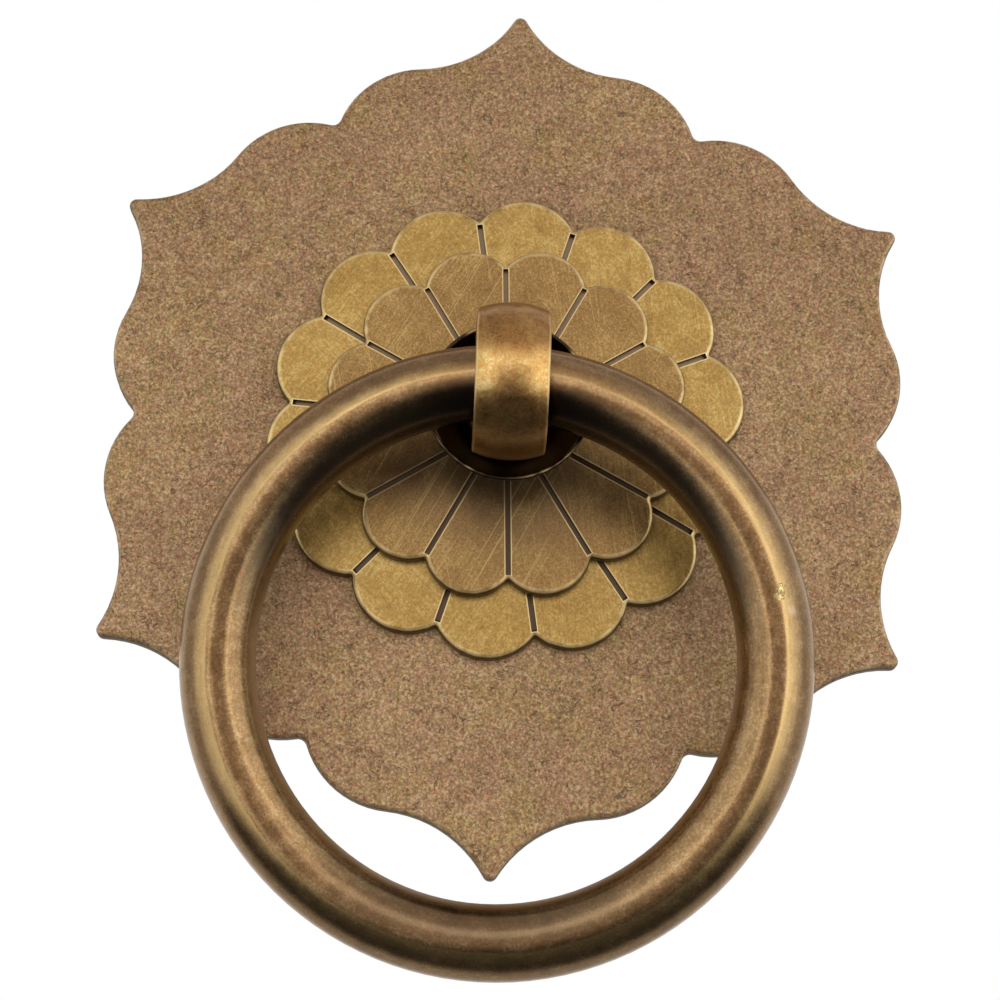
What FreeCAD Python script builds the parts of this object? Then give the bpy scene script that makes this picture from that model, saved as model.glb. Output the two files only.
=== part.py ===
import FreeCAD, Part
import math
import os
import Sketcher

# Ring pull handle: a lotus-shaped backplate, two flower-shaped rosettes and a cup washer are threaded
# on the shank of an eye. A plain ring hangs in the eye. A washer and a nut clamp the stack to a door.
# Millimetres. The back of the plate lies on y = 0, the front looks along -Y, and +Z is up.
# The shank's axis is the Y axis.

# Driving dimensions. All of them stand in the document's spreadsheet under these names.
SIZES = {
    # backplate: flat sheet with six pointed petals
    "plate_thickness": 2.0,
    "petal_count": 6,
    "plate_tip_radius": 50.0,
    "plate_notch_depth": 9.2,
    "plate_point_angle": 24.1,
    "plate_hollow_radius": 13.5,
    "plate_shoulder_radius": 10.1,
    "plate_tip_rounding": 0.8,
    "plate_notch_rounding": 1.0,
    "plate_edge_rounding": 0.5,
    # outer rosette: sheet with round lobes and a stamped groove between each two
    "outer_thickness": 1.5,
    "outer_lobe_count": 14,
    "outer_tip_radius": 26.5,
    "outer_notch_radius": 24.0,
    "outer_groove_width": 0.62,
    "outer_groove_depth": 0.6,
    "outer_groove_start": 15.0,
    "outer_rim": 0.35,
    "outer_edge_rounding": 0.45,
    "outer_notch_rounding": 0.2,
    "outer_turn": 3.6,
    # inner rosette
    "inner_thickness": 1.5,
    "inner_lobe_count": 12,
    "inner_tip_radius": 20.2,
    "inner_notch_radius": 17.9,
    "inner_groove_width": 0.58,
    "inner_groove_depth": 0.6,
    "inner_groove_start": 6.5,
    "inner_rim": 0.3,
    "inner_edge_rounding": 0.45,
    "inner_notch_rounding": 0.2,
    "inner_turn": 12.6,
    # cup washer: pressed from thin sheet, a flat base and a wall that leans outward to the lip
    "cup_wall": 0.5,
    "cup_rim_radius": 8.95,
    "cup_base_margin": 0.1,
    "cup_base_rounding": 0.8,
    "cup_ring_gap": 1.45,
    # eye: a crowned band bent to a round loop, on a collar and a threaded shank
    "eye_height": 16.0,
    "eye_inner_radius": 6.9,
    "eye_band_width": 7.7,
    "eye_band_thickness": 1.4,
    "eye_band_crown": 0.8,
    "eye_band_rounding": 0.25,
    "eye_neck_radius": 3.3,
    "eye_neck_cover": 0.4,
    "eye_collar_radius": 4.1,
    "eye_collar_thickness": 1.5,
    "shank_radius": 3.0,
    "shank_free_end": 6.0,
    "shank_chamfer": 0.6,
    # ring: round bar, lying forward of the plate with a small tilt and turn
    "ring_radius": 29.1,
    "ring_bar_radius": 4.0,
    "ring_seat_back": 0.65,
    "ring_seat_side": 0.5,
    "ring_tilt": 10.6,
    "ring_turn": 4.7,
    # door and fastening
    "door_thickness": 18.0,
    "shank_clearance": 0.2,
    "washer_radius": 6.0,
    "washer_thickness": 1.6,
    "washer_edge_rounding": 0.25,
    "nut_across_flats": 10.0,
    "nut_height": 5.0,
    "nut_clearance": 0.05,
    "nut_face_share": 0.95,
    "nut_chamfer_angle": 30.0,
}

# Where each layer of the stack starts, measured from the back of the plate towards the front
OUTER_SEAT = "Sizes.plate_thickness"
INNER_SEAT = OUTER_SEAT + " + Sizes.outer_thickness"
CUP_SEAT = INNER_SEAT + " + Sizes.inner_thickness"
COLLAR_SEAT = CUP_SEAT + " + Sizes.cup_wall"
LOOP_CENTRE = "Sizes.plate_thickness + Sizes.eye_height"
RING_SEAT = LOOP_CENTRE + " - Sizes.ring_seat_back"
# The cup is as deep as the ring's bar leaves room for, and its flat floor takes the eye's collar
CUP_RIM = RING_SEAT + " - Sizes.ring_bar_radius - Sizes.cup_ring_gap"
CUP_DEPTH = CUP_RIM + " - (" + CUP_SEAT + ")"
CUP_FLOOR_RADIUS = "Sizes.eye_collar_radius + Sizes.cup_base_margin"
HOLE_RADIUS = "Sizes.shank_radius + Sizes.shank_clearance"
NUT_SEAT = "Sizes.door_thickness + Sizes.washer_thickness"

ORIGIN = (-1, 1)
ACROSS = -1
UPRIGHT = -2
START = 1
END = 2
CENTRE = 3

doc = FreeCAD.newDocument("RingPull")


def make_sheet():
    sheet = doc.addObject("Spreadsheet::Sheet", "Sizes")
    for row, (name, number) in enumerate(SIZES.items(), start=1):
        sheet.set("A%d" % row, name)
        sheet.set("B%d" % row, str(number))
        sheet.setAlias("B%d" % row, name)
    doc.recompute()
    return sheet


sheet = make_sheet()


def value(expression):
    """The number that an expression over the sheet gives, in millimetres or degrees."""
    result = sheet.evalExpression(expression)
    return float(getattr(result, "Value", result))


def new_body(label):
    body = doc.addObject("PartDesign::Body", label)
    body.Label = label
    return body


def plane_of(body, role):
    return next(item for item in body.Origin.OriginFeatures if item.Role == role)


def new_sketch(body, name, role, lift=None):
    """A sketch on one of the body's own planes, lifted along the plane's normal."""
    sketch = body.newObject("Sketcher::SketchObject", name)
    sketch.AttachmentSupport = [(plane_of(body, role), "")]
    sketch.MapMode = "FlatFace"
    if lift:
        sketch.setExpression("AttachmentOffset.Base.z", lift)
    return sketch


def measure(sketch, name, expression, kind, *where):
    """Adds a dimension to a sketch and ties it to the sheet."""
    number = value(expression)
    if kind == "Angle":
        number = math.radians(number)
        expression = "(" + expression + ") * 1 deg"
    index = sketch.addConstraint(Sketcher.Constraint(kind, *where, number))
    sketch.renameConstraint(index, name)
    sketch.setExpression("Constraints." + name, expression)


def relate(sketch, kind, *where):
    sketch.addConstraint(Sketcher.Constraint(kind, *where))


def line(sketch, start, end):
    begin = FreeCAD.Vector(start[0], start[1], 0)
    finish = FreeCAD.Vector(end[0], end[1], 0)
    return sketch.addGeometry(Part.LineSegment(begin, finish))


def arc(sketch, centre, start, end):
    """An arc about a centre, drawn anticlockwise from start to end."""
    middle = FreeCAD.Vector(centre[0], centre[1], 0)
    radius = math.dist(centre, start)
    circle = Part.Circle(middle, FreeCAD.Vector(0, 0, 1), radius)
    first = math.atan2(start[1] - centre[1], start[0] - centre[0])
    last = math.atan2(end[1] - centre[1], end[0] - centre[0])
    if last < first:
        last += 2 * math.pi
    return sketch.addGeometry(Part.ArcOfCircle(circle, first, last))


def polygon(sketch, points):
    """A closed outline of straight edges, with its corners joined."""
    edges = []
    for index, point in enumerate(points):
        following = points[(index + 1) % len(points)]
        edges.append(line(sketch, point, following))
    for index, edge in enumerate(edges):
        relate(sketch, "Coincident", edge, END, edges[(index + 1) % len(edges)], START)
    return edges


def circle(sketch, name, expression):
    """A circle about the sketch's origin."""
    normal = FreeCAD.Vector(0, 0, 1)
    shape = Part.Circle(FreeCAD.Vector(0, 0, 0), normal, value(expression))
    edge = sketch.addGeometry(shape)
    relate(sketch, "Coincident", edge, CENTRE, *ORIGIN)
    measure(sketch, name, expression, "Radius", edge)
    return edge


def add_pad(body, sketch, name, length):
    pad = body.newObject("PartDesign::Pad", name)
    pad.Profile = sketch
    pad.setExpression("Length", length)
    doc.recompute()
    return pad


def add_pocket(body, sketch, name, depth):
    """Cuts from the sketch's plane back into the solid, against the sketch's normal."""
    before = body.Shape.Volume
    pocket = body.newObject("PartDesign::Pocket", name)
    pocket.Profile = sketch
    pocket.setExpression("Length", depth)
    doc.recompute()
    if body.Shape.Volume >= before:
        raise RuntimeError(name + " cuts nothing")
    return pocket


def add_revolution(body, sketch, name, kind="PartDesign::Revolution"):
    """A full turn about the sketch's own horizontal axis."""
    turn = body.newObject(kind, name)
    turn.Profile = sketch
    turn.ReferenceAxis = (sketch, ["H_Axis"])
    turn.Angle = 360
    doc.recompute()
    return turn


def add_polar_pattern(body, feature, name, count):
    """Repeats a feature evenly around the shank's axis."""
    pattern = body.newObject("PartDesign::PolarPattern", name)
    pattern.Originals = [feature]
    axis = next(item for item in body.Origin.OriginFeatures if item.Role == "Y_Axis")
    pattern.Axis = (axis, [""])
    pattern.Angle = 360
    pattern.setExpression("Occurrences", count)
    body.Tip = pattern
    doc.recompute()
    return pattern


def add_fillet(body, name, radius, wanted):
    """Rounds those edges of the body for which wanted(edge) is true."""
    base = body.Tip
    edges = ["Edge%d" % (i + 1) for i, edge in enumerate(base.Shape.Edges) if wanted(edge)]
    fillet = body.newObject("PartDesign::Fillet", name)
    fillet.Base = (base, edges)
    fillet.setExpression("Radius", radius)
    doc.recompute()
    return fillet


def distance_from_axis(point):
    return math.hypot(point.x, point.z)


def across_sheet(edge, near, far):
    """True for an edge that runs straight through a sheet, between two distances from the axis."""
    box = edge.BoundBox
    straight = box.XLength + box.ZLength < 0.01 and box.YLength > 0.1
    return straight and near < distance_from_axis(edge.CenterOfMass) < far


def on_outline(edge, level, near):
    """True for an edge that lies in the plane y = level, wholly further than near from the axis."""
    box = edge.BoundBox
    flat = box.YLength < 0.001 and abs(box.YMin - level) < 0.001
    return flat and all(distance_from_axis(vertex.Point) > near for vertex in edge.Vertexes)


def bore_sheet(body, thickness):
    """The clearance hole for the shank."""
    sketch = new_sketch(body, "ShankHole", "XZ_Plane", thickness)
    circle(sketch, "hole_radius", HOLE_RADIUS)
    add_pocket(body, sketch, "ShankHolePocket", thickness)


def backplate():
    body = new_body("backplate")
    notch_radius = "Sizes.plate_tip_radius - Sizes.plate_notch_depth"
    centre_across = "Sizes.plate_hollow_radius * cos(Sizes.plate_point_angle * 1 deg)"
    # The two hollow curves meet in a sharp point, which the rounding brings back to the tip's radius
    rounded_reach = "(Sizes.plate_hollow_radius + Sizes.plate_tip_rounding)"
    tip_height = ("Sizes.plate_tip_radius - Sizes.plate_tip_rounding"
                  " + sqrt(" + rounded_reach + "^2 - (" + centre_across + ")^2)"
                  " - Sizes.plate_hollow_radius * sin(Sizes.plate_point_angle * 1 deg)")

    # One petal: a hollow curve falls from the point to a round shoulder, which ends at the notch
    tip = (0.0, value(tip_height))
    hollow = value("Sizes.plate_hollow_radius")
    shoulder = value("Sizes.plate_shoulder_radius")
    point_angle = math.radians(value("Sizes.plate_point_angle"))
    half_sector = math.pi / value("Sizes.petal_count")
    notch_x = value(notch_radius) * math.sin(half_sector)
    notch_y = value(notch_radius) * math.cos(half_sector)
    hollow_x = hollow * math.cos(point_angle)
    hollow_y = tip[1] + hollow * math.sin(point_angle)
    # The two curves touch, so their centres lie both radii apart
    span = math.hypot(notch_x - hollow_x, notch_y - hollow_y)
    along = (span**2 + (hollow + shoulder) ** 2 - shoulder**2) / (2 * span)
    aside = math.sqrt((hollow + shoulder) ** 2 - along**2)
    unit_x = (notch_x - hollow_x) / span
    unit_y = (notch_y - hollow_y) / span
    shoulder_x = hollow_x + unit_x * along + unit_y * aside
    shoulder_y = hollow_y + unit_y * along - unit_x * aside
    share = hollow / (hollow + shoulder)
    join_x = hollow_x + (shoulder_x - hollow_x) * share
    join_y = hollow_y + (shoulder_y - hollow_y) * share

    sketch = new_sketch(body, "PetalOutline", "XZ_Plane")
    left_side = line(sketch, (0, 0), (-notch_x, notch_y))
    left_shoulder = arc(sketch, (-shoulder_x, shoulder_y), (-join_x, join_y), (-notch_x, notch_y))
    left_hollow = arc(sketch, (-hollow_x, hollow_y), (-join_x, join_y), tip)
    right_hollow = arc(sketch, (hollow_x, hollow_y), tip, (join_x, join_y))
    right_shoulder = arc(sketch, (shoulder_x, shoulder_y), (notch_x, notch_y), (join_x, join_y))
    right_side = line(sketch, (notch_x, notch_y), (0, 0))
    relate(sketch, "Coincident", left_side, START, *ORIGIN)
    relate(sketch, "Coincident", right_side, END, *ORIGIN)
    relate(sketch, "Coincident", left_side, END, left_shoulder, END)
    relate(sketch, "Tangent", left_shoulder, START, left_hollow, START)
    relate(sketch, "Coincident", left_hollow, END, right_hollow, START)
    relate(sketch, "Tangent", right_hollow, END, right_shoulder, END)
    relate(sketch, "Coincident", right_shoulder, START, right_side, START)
    relate(sketch, "PointOnObject", left_hollow, END, UPRIGHT)
    relate(sketch, "Symmetric", left_side, END, right_side, START, UPRIGHT)
    relate(sketch, "Symmetric", left_hollow, CENTRE, right_hollow, CENTRE, UPRIGHT)
    relate(sketch, "Equal", left_shoulder, right_shoulder)
    measure(sketch, "tip_height", tip_height, "DistanceY", *ORIGIN, left_hollow, END)
    measure(sketch, "notch_radius", notch_radius, "Distance", right_side)
    sector = "360 / Sizes.petal_count"
    measure(sketch, "sector", sector, "Angle", right_side, END, left_side, START)
    measure(sketch, "hollow_radius", "Sizes.plate_hollow_radius", "Radius", right_hollow)
    measure(sketch, "shoulder_radius", "Sizes.plate_shoulder_radius", "Radius", right_shoulder)
    measure(sketch, "centre_across", centre_across, "DistanceX", *ORIGIN, right_hollow, CENTRE)
    petal = add_pad(body, sketch, "Petal", "Sizes.plate_thickness")
    add_polar_pattern(body, petal, "Petals", "Sizes.petal_count")
    bore_sheet(body, "Sizes.plate_thickness")

    notch = value(notch_radius)
    reach = value(tip_height)
    add_fillet(body, "TipRounding", "Sizes.plate_tip_rounding",
               lambda edge: across_sheet(edge, reach - 0.5, reach + 0.5))
    add_fillet(body, "NotchRounding", "Sizes.plate_notch_rounding",
               lambda edge: across_sheet(edge, notch - 0.5, notch + 0.5))
    front = -value("Sizes.plate_thickness")
    add_fillet(body, "FrontRounding", "Sizes.plate_edge_rounding",
               lambda edge: on_outline(edge, front, notch / 2))
    add_fillet(body, "BackRounding", "Sizes.plate_edge_rounding",
               lambda edge: on_outline(edge, 0.0, notch / 2))
    return body


def rosette(label, kind, seat):
    """A sheet flower: round lobes, and a stamped groove along the line between each two."""
    size = "Sizes." + kind + "_"
    body = new_body(label)
    half_sector = math.pi / value(size + "lobe_count")
    notch = value(size + "notch_radius")
    tip = value(size + "tip_radius")
    notch_x = notch * math.sin(half_sector)
    notch_y = notch * math.cos(half_sector)
    rise = tip - notch_y
    lobe_radius = (notch_x**2 + rise**2) / (2 * rise)

    sketch = new_sketch(body, "LobeOutline", "XZ_Plane")
    left_side = line(sketch, (0, 0), (-notch_x, notch_y))
    lobe = arc(sketch, (0, tip - lobe_radius), (notch_x, notch_y), (-notch_x, notch_y))
    right_side = line(sketch, (notch_x, notch_y), (0, 0))
    top = sketch.addGeometry(Part.Point(FreeCAD.Vector(0, tip, 0)), True)
    relate(sketch, "Coincident", left_side, START, *ORIGIN)
    relate(sketch, "Coincident", right_side, END, *ORIGIN)
    relate(sketch, "Coincident", left_side, END, lobe, END)
    relate(sketch, "Coincident", lobe, START, right_side, START)
    relate(sketch, "Symmetric", left_side, END, right_side, START, UPRIGHT)
    relate(sketch, "PointOnObject", top, START, UPRIGHT)
    relate(sketch, "PointOnObject", top, START, lobe)
    sector = "360 / " + size + "lobe_count"
    measure(sketch, "sector", sector, "Angle", right_side, END, left_side, START)
    measure(sketch, "notch_radius", size + "notch_radius", "Distance", right_side)
    measure(sketch, "tip_radius", size + "tip_radius", "DistanceY", *ORIGIN, top, START)
    petal = add_pad(body, sketch, "Lobe", size + "thickness")
    add_polar_pattern(body, petal, "Lobes", size + "lobe_count")
    bore_sheet(body, size + "thickness")

    near = notch - 0.5
    add_fillet(body, "NotchRounding", size + "notch_rounding",
               lambda edge: across_sheet(edge, near, notch + 0.5))
    front = -value(size + "thickness")
    add_fillet(body, "FrontRounding", size + "edge_rounding",
               lambda edge: on_outline(edge, front, near))

    # The groove stops just short of the notch, so that a thin rim runs on round its end
    half_width = value(size + "groove_width") / 2
    start = value(size + "groove_start")
    end_expression = size + "notch_radius - " + size + "rim"
    end = value(end_expression)
    groove = new_sketch(body, "GrooveOutline", "XZ_Plane", size + "thickness")
    groove.AttachmentOffset = FreeCAD.Placement(
        FreeCAD.Vector(0, 0, value(size + "thickness")),
        FreeCAD.Rotation(FreeCAD.Vector(0, 0, 1), math.degrees(half_sector)))
    groove.setExpression("AttachmentOffset.Rotation.Angle", "180 / " + size + "lobe_count")
    corners = [(-half_width, start), (half_width, start), (half_width, end), (-half_width, end)]
    bottom, right, upper, left = polygon(groove, corners)
    relate(groove, "Horizontal", upper)
    relate(groove, "Symmetric", bottom, START, bottom, END, UPRIGHT)
    relate(groove, "Vertical", right)
    relate(groove, "Vertical", left)
    measure(groove, "groove_width", size + "groove_width", "Distance", bottom)
    measure(groove, "groove_start", size + "groove_start", "DistanceY", *ORIGIN, bottom, START)
    measure(groove, "groove_end", end_expression, "DistanceY", *ORIGIN, upper, START)
    cut = add_pocket(body, groove, "Groove", size + "groove_depth")
    add_polar_pattern(body, cut, "Grooves", size + "lobe_count")

    body.Placement = FreeCAD.Placement(
        FreeCAD.Vector(0, -value(seat), 0),
        FreeCAD.Rotation(FreeCAD.Vector(0, 1, 0), value(size + "turn")))
    body.setExpression("Placement.Base.y", "-(" + seat + ")")
    body.setExpression("Placement.Rotation.Angle", size + "turn")
    doc.recompute()
    return body


def cup_washer():
    body = new_body("cup_washer")
    wall = value("Sizes.cup_wall")
    lip = wall / 2
    lip_depth = value(CUP_DEPTH) - lip
    lip_reach = value("Sizes.cup_rim_radius") - lip
    floor_radius = value(CUP_FLOOR_RADIUS)
    hole = value(HOLE_RADIUS)
    # The inside of the wall runs straight from the edge of the floor to the rounded lip
    run = lip_depth - wall
    spread = lip_reach - floor_radius
    length = math.sqrt(run**2 + spread**2 - lip**2)
    lean = math.atan2(spread, run) - math.atan2(lip, length)
    across = (math.sin(lean) * lip, math.cos(lean) * lip)
    inner_end = (-lip_depth - across[0], lip_reach - across[1])
    outer_end = (-lip_depth + across[0], lip_reach + across[1])
    base = outer_end[1] - (lip_depth - across[0]) * math.tan(lean)

    sketch = new_sketch(body, "CupSection", "YZ_Plane")
    back = line(sketch, (0, hole), (0, base))
    outer = line(sketch, (0, base), outer_end)
    rounded = arc(sketch, (-lip_depth, lip_reach), outer_end, inner_end)
    inner = line(sketch, inner_end, (-wall, floor_radius))
    floor = line(sketch, (-wall, floor_radius), (-wall, hole))
    bore = line(sketch, (-wall, hole), (0, hole))
    relate(sketch, "Coincident", back, END, outer, START)
    relate(sketch, "Tangent", outer, END, rounded, START)
    relate(sketch, "Tangent", rounded, END, inner, START)
    relate(sketch, "Coincident", inner, END, floor, START)
    relate(sketch, "Coincident", floor, END, bore, START)
    relate(sketch, "Coincident", bore, END, back, START)
    relate(sketch, "PointOnObject", back, START, UPRIGHT)
    relate(sketch, "Vertical", back)
    relate(sketch, "Vertical", floor)
    relate(sketch, "Horizontal", bore)
    relate(sketch, "Parallel", outer, inner)
    measure(sketch, "hole_radius", HOLE_RADIUS, "DistanceY", *ORIGIN, back, START)
    measure(sketch, "floor_radius", CUP_FLOOR_RADIUS, "DistanceY", *ORIGIN, floor, START)
    measure(sketch, "wall", "Sizes.cup_wall", "Distance", bore)
    measure(sketch, "lip_radius", "Sizes.cup_wall / 2", "Radius", rounded)
    measure(sketch, "lip_reach", "Sizes.cup_rim_radius - Sizes.cup_wall / 2", "DistanceY",
            *ORIGIN, rounded, CENTRE)
    measure(sketch, "lip_depth", CUP_DEPTH + " - Sizes.cup_wall / 2", "DistanceX",
            rounded, CENTRE, *ORIGIN)
    add_revolution(body, sketch, "Bowl")
    add_fillet(body, "BaseRounding", "Sizes.cup_base_rounding",
               lambda edge: edge.BoundBox.YLength < 0.001 and abs(edge.BoundBox.YMax) < 0.001
               and edge.BoundBox.XMax > floor_radius)
    body.setExpression("Placement.Base.y", "-(" + CUP_SEAT + ")")
    doc.recompute()
    return body


def ring_eye():
    body = new_body("ring_eye")
    # Neck, collar and shank, turned about the Y axis: the sketch runs from the back end to the neck
    back_end = NUT_SEAT + " + Sizes.nut_height + Sizes.shank_free_end"
    neck_end = LOOP_CENTRE + " - Sizes.eye_inner_radius - Sizes.eye_neck_cover"
    collar_end = COLLAR_SEAT + " + Sizes.eye_collar_thickness"
    shank = value("Sizes.shank_radius")
    collar = value("Sizes.eye_collar_radius")
    neck = value("Sizes.eye_neck_radius")
    end = value(back_end)
    seat = -value(COLLAR_SEAT)
    step = -value(collar_end)
    top = -value(neck_end)
    sketch = new_sketch(body, "ShankSection", "YZ_Plane")
    corners = [(end, 0), (end, shank), (seat, shank), (seat, collar),
               (step, collar), (step, neck), (top, neck), (top, 0)]
    end_face, shank_side, seat_face, collar_side, step_face, neck_side, top_face, axis = (
        polygon(sketch, corners))
    for edge in (end_face, seat_face, step_face, top_face):
        relate(sketch, "Vertical", edge)
    for edge in (shank_side, collar_side, neck_side):
        relate(sketch, "Horizontal", edge)
    relate(sketch, "PointOnObject", axis, START, ACROSS)
    relate(sketch, "PointOnObject", axis, END, ACROSS)
    measure(sketch, "back_end", back_end, "DistanceX", *ORIGIN, end_face, START)
    measure(sketch, "collar_seat", COLLAR_SEAT, "DistanceX", seat_face, START, *ORIGIN)
    measure(sketch, "collar_end", collar_end, "DistanceX", step_face, START, *ORIGIN)
    measure(sketch, "neck_end", neck_end, "DistanceX", top_face, START, *ORIGIN)
    measure(sketch, "shank_radius", "Sizes.shank_radius", "DistanceY", *ORIGIN, shank_side, START)
    measure(sketch, "collar_radius", "Sizes.eye_collar_radius", "DistanceY",
            *ORIGIN, collar_side, START)
    measure(sketch, "neck_radius", "Sizes.eye_neck_radius", "DistanceY", *ORIGIN, neck_side, START)
    add_revolution(body, sketch, "Shank")

    # The loop: a band with a flat inside and a crowned outside, turned about a cross axis
    half_width = value("Sizes.eye_band_width") / 2
    inside = value("Sizes.eye_inner_radius")
    crown = value("Sizes.eye_band_crown")
    crest = inside + value("Sizes.eye_band_thickness")
    edge_height = crest - crown
    crown_radius = (half_width**2 + crown**2) / (2 * crown)
    edge_expression = ("Sizes.eye_inner_radius + Sizes.eye_band_thickness"
                       " - Sizes.eye_band_crown")
    band = new_sketch(body, "BandSection", "XY_Plane")
    band.setExpression("AttachmentOffset.Base.y", "-(" + LOOP_CENTRE + ")")
    hole_side = line(band, (-half_width, inside), (half_width, inside))
    right_side = line(band, (half_width, inside), (half_width, edge_height))
    crown_arc = arc(band, (0, crest - crown_radius), (half_width, edge_height),
                    (-half_width, edge_height))
    left_side = line(band, (-half_width, edge_height), (-half_width, inside))
    crest_point = band.addGeometry(Part.Point(FreeCAD.Vector(0, crest, 0)), True)
    relate(band, "Coincident", hole_side, END, right_side, START)
    relate(band, "Coincident", right_side, END, crown_arc, START)
    relate(band, "Coincident", crown_arc, END, left_side, START)
    relate(band, "Coincident", left_side, END, hole_side, START)
    relate(band, "Vertical", right_side)
    relate(band, "Vertical", left_side)
    relate(band, "Symmetric", hole_side, START, hole_side, END, UPRIGHT)
    relate(band, "PointOnObject", crest_point, START, UPRIGHT)
    relate(band, "PointOnObject", crest_point, START, crown_arc)
    relate(band, "Horizontal", right_side, END, left_side, START)
    measure(band, "band_width", "Sizes.eye_band_width", "Distance", hole_side)
    measure(band, "inner_radius", "Sizes.eye_inner_radius", "DistanceY",
            *ORIGIN, hole_side, START)
    measure(band, "edge_height", edge_expression, "DistanceY", *ORIGIN, right_side, END)
    measure(band, "crest", "Sizes.eye_inner_radius + Sizes.eye_band_thickness", "DistanceY",
            *ORIGIN, crest_point, START)
    add_revolution(body, band, "Loop")
    add_fillet(body, "BandRounding", "Sizes.eye_band_rounding",
               lambda edge: edge.BoundBox.XLength < 0.001
               and abs(abs(edge.BoundBox.XMin) - half_width) < 0.001)

    base = body.Tip
    end_level = value(back_end)
    rim = ["Edge%d" % (i + 1) for i, edge in enumerate(base.Shape.Edges)
           if abs(edge.BoundBox.YMin - end_level) < 0.001]
    chamfer = body.newObject("PartDesign::Chamfer", "ShankChamfer")
    chamfer.Base = (base, rim)
    chamfer.setExpression("Size", "Sizes.shank_chamfer")
    doc.recompute()
    return body


def pull_ring():
    ring = doc.addObject("Part::Torus", "pull_ring")
    ring.Label = "pull_ring"
    ring.setExpression("Radius1", "Sizes.ring_radius")
    ring.setExpression("Radius2", "Sizes.ring_bar_radius")
    # Stood upright, then turned about the vertical, then tipped so that its foot nears the plate
    upright = FreeCAD.Rotation(FreeCAD.Vector(1, 0, 0), 90)
    turned = FreeCAD.Rotation(FreeCAD.Vector(0, 0, 1), -value("Sizes.ring_turn"))
    tipped = FreeCAD.Rotation(FreeCAD.Vector(1, 0, 0), value("Sizes.ring_tilt"))
    ring.Placement = FreeCAD.Placement(
        FreeCAD.Vector(0, 0, 0), tipped.multiply(turned).multiply(upright))
    # The top of the ring lies level with the eye's axis, a little behind the middle of its hole
    tilt = "(Sizes.ring_tilt * 1 deg)"
    ring.setExpression("Placement.Base.x", "-Sizes.ring_seat_side")
    ring.setExpression("Placement.Base.y", "-(" + RING_SEAT + ") + Sizes.ring_radius * sin" + tilt)
    ring.setExpression("Placement.Base.z", "-Sizes.ring_radius * cos" + tilt)
    doc.recompute()
    return ring


def back_washer():
    body = new_body("back_washer")
    sketch = new_sketch(body, "WasherOutline", "XZ_Plane")
    circle(sketch, "outer_radius", "Sizes.washer_radius")
    circle(sketch, "hole_radius", HOLE_RADIUS)
    add_pad(body, sketch, "WasherSheet", "Sizes.washer_thickness")
    rim = value("Sizes.washer_radius")
    add_fillet(body, "RimRounding", "Sizes.washer_edge_rounding",
               lambda edge: edge.BoundBox.YLength < 0.001
               and abs(edge.BoundBox.XMax - rim) < 0.01)
    body.setExpression("Placement.Base.y", NUT_SEAT)
    doc.recompute()
    return body


def hex_nut():
    body = new_body("hex_nut")
    corner_radius = "Sizes.nut_across_flats / 2 / cos(30 deg)"
    radius = value(corner_radius)
    corners = []
    for index in range(6):
        angle = math.radians(60 * index)
        corners.append((radius * math.cos(angle), radius * math.sin(angle)))
    sketch = new_sketch(body, "NutOutline", "XZ_Plane")
    sides = polygon(sketch, corners)
    guide = circle(sketch, "corner_radius", corner_radius)
    sketch.setConstruction(guide, True)
    for side in sides:
        relate(sketch, "PointOnObject", side, START, guide)
    for side in sides[1:]:
        relate(sketch, "Equal", sides[0], side)
    relate(sketch, "PointOnObject", sides[0], START, ACROSS)
    circle(sketch, "hole_radius", "Sizes.shank_radius + Sizes.nut_clearance")
    add_pad(body, sketch, "NutBlock", "Sizes.nut_height")

    # Both faces are chamfered down to a circle a little smaller than the flats
    face_radius = "Sizes.nut_across_flats / 2 * Sizes.nut_face_share"
    clear_radius = corner_radius + " + 1"
    slope = "(Sizes.nut_chamfer_angle * 1 deg)"
    drop = "(" + clear_radius + " - " + face_radius + ") * tan" + slope
    height = value("Sizes.nut_height")
    section = new_sketch(body, "ChamferSection", "YZ_Plane")
    rear = polygon(section, [(0, value(face_radius)), (0, value(clear_radius)),
                             (-value(drop), value(clear_radius))])
    fore = polygon(section, [(-height, value(face_radius)), (-height, value(clear_radius)),
                             (value(drop) - height, value(clear_radius))])
    for name, (upright, level, sloped) in (("rear", rear), ("fore", fore)):
        relate(section, "Vertical", upright)
        relate(section, "Horizontal", level)
        measure(section, name + "_face", face_radius, "DistanceY", *ORIGIN, upright, START)
        measure(section, name + "_clear", clear_radius, "DistanceY", *ORIGIN, upright, END)
        measure(section, name + "_drop", drop, "Distance", level)
    relate(section, "PointOnObject", rear[0], START, UPRIGHT)
    measure(section, "height", "Sizes.nut_height", "DistanceX", fore[0], START, *ORIGIN)
    add_revolution(body, section, "NutChamfer", "PartDesign::Groove")
    body.setExpression("Placement.Base.y", NUT_SEAT + " + Sizes.nut_height")
    doc.recompute()
    return body


def check(parts):
    """Stops if a feature failed, or if a part is not one valid solid."""
    for item in doc.Objects:
        if "Invalid" in item.State or "Error" in item.State:
            raise RuntimeError(item.Name + " failed: " + ", ".join(item.State))
    for part in parts:
        shape = part.Shape
        if shape.isNull() or not shape.isValid() or len(shape.Solids) != 1:
            raise RuntimeError(part.Label + " is not one valid solid")


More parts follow.
